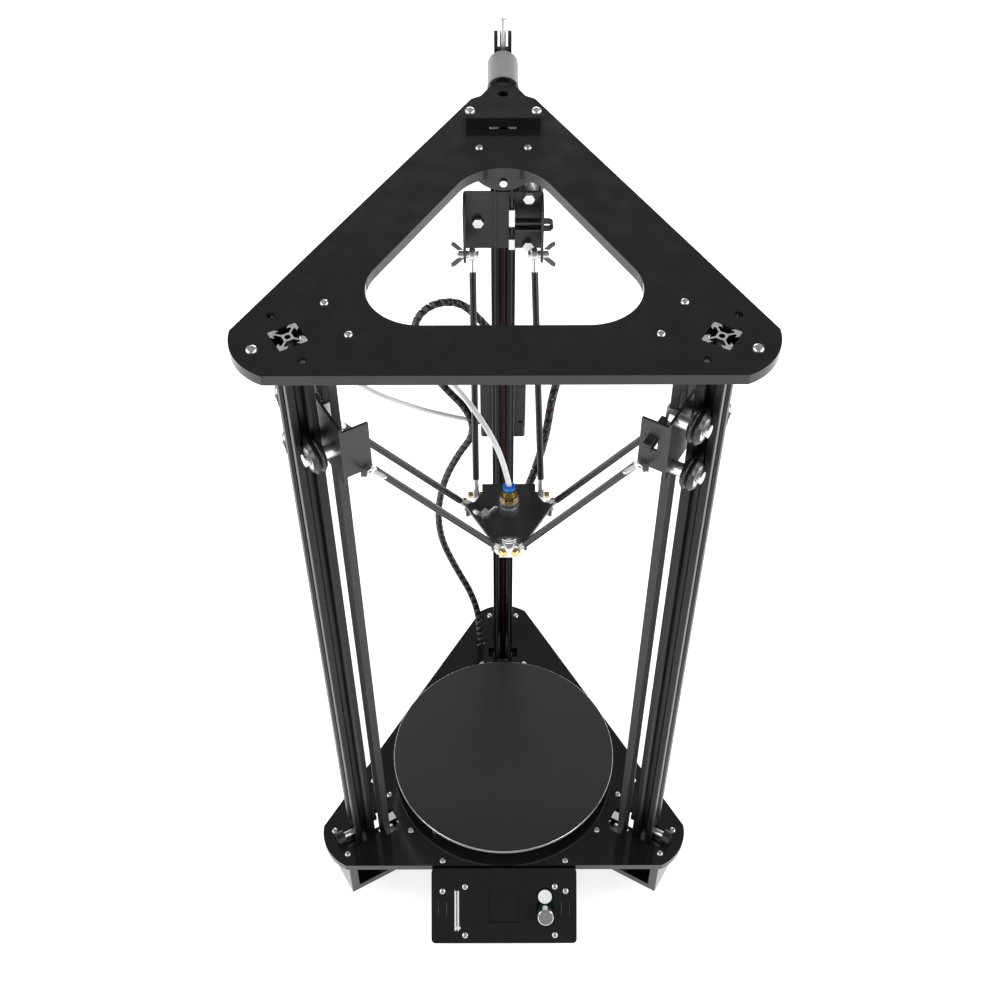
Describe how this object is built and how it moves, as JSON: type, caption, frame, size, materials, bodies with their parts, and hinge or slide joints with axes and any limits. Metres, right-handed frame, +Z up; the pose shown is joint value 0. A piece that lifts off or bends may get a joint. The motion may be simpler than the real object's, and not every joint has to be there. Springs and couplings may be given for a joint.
{
  "type": "delta 3d printer",
  "caption": "Black delta 3D printer: triangular plates on upright rails, belt-driven carriages, rods to a hanging hotend, round bed, tilted control panel and a spool holder.",
  "frame": {"origin": "on the printer's vertical axis, at the underside of the floor plate", "axes": "+Z up along the rails, +Y from the axis to the rear tower that carries the spool holder, -Y towards the control panel, +X to the right seen from the control panel"},
  "size_m": [0.356, 0.4324, 0.744],
  "materials": {
    "black_panel": "glossy",
    "black_anodised": "satin anodised",
    "black_sheet": "satin",
    "motor_case": "satin",
    "bright_aluminium": "machined",
    "bright_steel": "bright",
    "belt_rubber": "matt",
    "black_plastic": "satin",
    "brass": "bright",
    "blue_plastic": "glossy",
    "bed_plate": "matt black face, bright rim",
    "circuit_board": "solder mask",
    "grey_tube": "matt",
    "milky_tube": "milky"
  },
  "bodies": {
    "frame": {"floor_plate": "black_panel", "base_plate": "black_panel", "top_plate": "black_panel", "tower_back": "black_anodised", "tower_left": "black_anodised", "tower_right": "black_anodised", "outer_panels": "black_panel", "motor_panels": "black_panel", "idler_panels": "black_panel", "tower_brackets": "black_sheet", "drive_motors": "motor_case", "belts": "belt_rubber", "heated_bed": "bed_plate", "bed_springs": "bright_steel", "control_panel": "black_panel", "panel_brackets": "black_panel", "display_board": "circuit_board", "spool_holder": "black_panel", "extruder_bracket": "black_sheet", "extruder_motor": "motor_case", "extruder_body": "black_plastic", "bowden_tube": "milky_tube", "wire_harness": "belt_rubber", "fasteners": "bright_steel", "mainboard": "circuit_board", "lock_knobs": "black_plastic"},
    "effector": {"rods": "black_plastic", "rod_ends": "bright_steel", "effector_plate": "black_sheet", "effector_bolts": "brass", "heat_sink": "bright_aluminium", "heater_block": "bright_aluminium", "nozzle": "brass", "push_fitting": "brass", "fitting_collet": "blue_plastic", "clamp_wing_nut": "bright_steel"},
    "carriage_back": {"carriage_plate_back": "black_sheet", "carriage_hardware_back": "bright_steel"},
    "carriage_left": {"carriage_plate_left": "black_sheet", "carriage_hardware_left": "bright_steel"},
    "carriage_right": {"carriage_plate_right": "black_sheet", "carriage_hardware_right": "bright_steel"},
    "wheel_back_upper": {"wheel_back_upper": "black_plastic"},
    "wheel_back_lower": {"wheel_back_lower": "black_plastic"},
    "wheel_back_idle": {"wheel_back_idle": "black_plastic"},
    "drive_pulley_back": {"drive_pulley_back": "bright_aluminium"},
    "idler_pulley_back": {"idler_pulley_back": "bright_aluminium"},
    "wheel_left_upper": {"wheel_left_upper": "black_plastic"},
    "wheel_left_lower": {"wheel_left_lower": "black_plastic"},
    "wheel_left_idle": {"wheel_left_idle": "black_plastic"},
    "drive_pulley_left": {"drive_pulley_left": "bright_aluminium"},
    "idler_pulley_left": {"idler_pulley_left": "bright_aluminium"},
    "wheel_right_upper": {"wheel_right_upper": "black_plastic"},
    "wheel_right_lower": {"wheel_right_lower": "black_plastic"},
    "wheel_right_idle": {"wheel_right_idle": "black_plastic"},
    "drive_pulley_right": {"drive_pulley_right": "bright_aluminium"},
    "idler_pulley_right": {"idler_pulley_right": "bright_aluminium"},
    "spool_roller": {"spool_roller": "grey_tube"},
    "encoder_knob": {"encoder_knob": "bright_aluminium"},
    "extruder_gear": {"extruder_gear": "brass"}
  },
  "joints": [
    {"name": "effector_lift", "type": "slide", "parent": "frame", "child": "effector", "axis": [0, 0, 1], "range_m": [-0.3, 0.012], "deforming": ["bowden_tube", "wire_harness"]},
    {"name": "carriage_back_lift", "type": "slide", "parent": "frame", "child": "carriage_back", "axis": [0, 0, 1], "range_m": [-0.3005, 0.0125]},
    {"name": "carriage_left_lift", "type": "slide", "parent": "frame", "child": "carriage_left", "axis": [0, 0, 1], "range_m": [-0.3005, 0.0125]},
    {"name": "carriage_right_lift", "type": "slide", "parent": "frame", "child": "carriage_right", "axis": [0, 0, 1], "range_m": [-0.3005, 0.0125]},
    {"name": "wheel_back_upper_spin", "type": "hinge", "parent": "carriage_back", "child": "wheel_back_upper", "pos_m": [0.02, 0.161, 0.6552], "axis": [0, 1, 0], "range_deg": [-58.5, 1439.4]},
    {"name": "wheel_back_lower_spin", "type": "hinge", "parent": "carriage_back", "child": "wheel_back_lower", "pos_m": [0.02, 0.161, 0.6092], "axis": [0, 1, 0], "range_deg": [-58.5, 1439.4]},
    {"name": "wheel_back_idle_spin", "type": "hinge", "parent": "carriage_back", "child": "wheel_back_idle", "pos_m": [-0.02, 0.161, 0.6322], "axis": [0, 1, 0], "range_deg": [-1439.4, 58.5]},
    {"name": "drive_pulley_back_spin", "type": "hinge", "parent": "frame", "child": "drive_pulley_back", "pos_m": [0, 0.1375, 0.03], "axis": [0, 1, 0], "range_deg": [-103.6, 2566.5]},
    {"name": "idler_pulley_back_spin", "type": "hinge", "parent": "frame", "child": "idler_pulley_back", "pos_m": [0, 0.1375, 0.6846], "axis": [0, 1, 0], "range_deg": [-103.6, 2566.5]},
    {"name": "wheel_left_upper_spin", "type": "hinge", "parent": "carriage_left", "child": "wheel_left_upper", "pos_m": [-0.14943, -0.06318, 0.6421], "axis": [-0.866, -0.5, 0], "range_deg": [-58.5, 1439.4]},
    {"name": "wheel_left_lower_spin", "type": "hinge", "parent": "carriage_left", "child": "wheel_left_lower", "pos_m": [-0.14943, -0.06318, 0.5961], "axis": [-0.866, -0.5, 0], "range_deg": [-58.5, 1439.4]},
    {"name": "wheel_left_idle_spin", "type": "hinge", "parent": "carriage_left", "child": "wheel_left_idle", "pos_m": [-0.12943, -0.09782, 0.6191], "axis": [-0.866, -0.5, 0], "range_deg": [-1439.4, 58.5]},
    {"name": "drive_pulley_left_spin", "type": "hinge", "parent": "frame", "child": "drive_pulley_left", "pos_m": [-0.11908, -0.06875, 0.03], "axis": [-0.866, -0.5, 0], "range_deg": [-103.6, 2566.5]},
    {"name": "idler_pulley_left_spin", "type": "hinge", "parent": "frame", "child": "idler_pulley_left", "pos_m": [-0.11908, -0.06875, 0.6846], "axis": [-0.866, -0.5, 0], "range_deg": [-103.6, 2566.5]},
    {"name": "wheel_right_upper_spin", "type": "hinge", "parent": "carriage_right", "child": "wheel_right_upper", "pos_m": [0.12943, -0.09782, 0.6466], "axis": [0.866, -0.5, 0], "range_deg": [-58.5, 1439.4]},
    {"name": "wheel_right_lower_spin", "type": "hinge", "parent": "carriage_right", "child": "wheel_right_lower", "pos_m": [0.12943, -0.09782, 0.6006], "axis": [0.866, -0.5, 0], "range_deg": [-58.5, 1439.4]},
    {"name": "wheel_right_idle_spin", "type": "hinge", "parent": "carriage_right", "child": "wheel_right_idle", "pos_m": [0.14943, -0.06318, 0.6236], "axis": [0.866, -0.5, 0], "range_deg": [-1439.4, 58.5]},
    {"name": "drive_pulley_right_spin", "type": "hinge", "parent": "frame", "child": "drive_pulley_right", "pos_m": [0.11908, -0.06875, 0.03], "axis": [0.866, -0.5, 0], "range_deg": [-103.6, 2566.5]},
    {"name": "idler_pulley_right_spin", "type": "hinge", "parent": "frame", "child": "idler_pulley_right", "pos_m": [0.11908, -0.06875, 0.6846], "axis": [0.866, -0.5, 0], "range_deg": [-103.6, 2566.5]},
    {"name": "spool_roller_spin", "type": "hinge", "parent": "frame", "child": "spool_roller", "pos_m": [0, 0.229, 0.708], "axis": [0, 1, 0], "continuous": true},
    {"name": "encoder_knob_spin", "type": "hinge", "parent": "frame", "child": "encoder_knob", "pos_m": [0.0397, -0.15276, 0.03298], "axis": [0, -0.6428, 0.766], "continuous": true},
    {"name": "extruder_gear_spin", "type": "hinge", "parent": "frame", "child": "extruder_gear", "pos_m": [0, 0.197, 0.362], "axis": [0, 0, 1], "continuous": true}
  ],
  "couplings": [
    {"joint": "carriage_back_lift", "follows": "effector_lift", "ratio": 1},
    {"joint": "carriage_left_lift", "follows": "effector_lift", "ratio": 1},
    {"joint": "carriage_right_lift", "follows": "effector_lift", "ratio": 1},
    {"joint": "wheel_back_upper_spin", "follows": "effector_lift", "rad_per_m": -83.682},
    {"joint": "wheel_back_lower_spin", "follows": "effector_lift", "rad_per_m": -83.682},
    {"joint": "wheel_back_idle_spin", "follows": "effector_lift", "rad_per_m": 83.682},
    {"joint": "drive_pulley_back_spin", "follows": "effector_lift", "rad_per_m": -149.25},
    {"joint": "idler_pulley_back_spin", "follows": "effector_lift", "rad_per_m": -149.25},
    {"joint": "wheel_left_upper_spin", "follows": "effector_lift", "rad_per_m": -83.682},
    {"joint": "wheel_left_lower_spin", "follows": "effector_lift", "rad_per_m": -83.682},
    {"joint": "wheel_left_idle_spin", "follows": "effector_lift", "rad_per_m": 83.682},
    {"joint": "drive_pulley_left_spin", "follows": "effector_lift", "rad_per_m": -149.25},
    {"joint": "idler_pulley_left_spin", "follows": "effector_lift", "rad_per_m": -149.25},
    {"joint": "wheel_right_upper_spin", "follows": "effector_lift", "rad_per_m": -83.682},
    {"joint": "wheel_right_lower_spin", "follows": "effector_lift", "rad_per_m": -83.682},
    {"joint": "wheel_right_idle_spin", "follows": "effector_lift", "rad_per_m": 83.682},
    {"joint": "drive_pulley_right_spin", "follows": "effector_lift", "rad_per_m": -149.25},
    {"joint": "idler_pulley_right_spin", "follows": "effector_lift", "rad_per_m": -149.25}
  ]
}
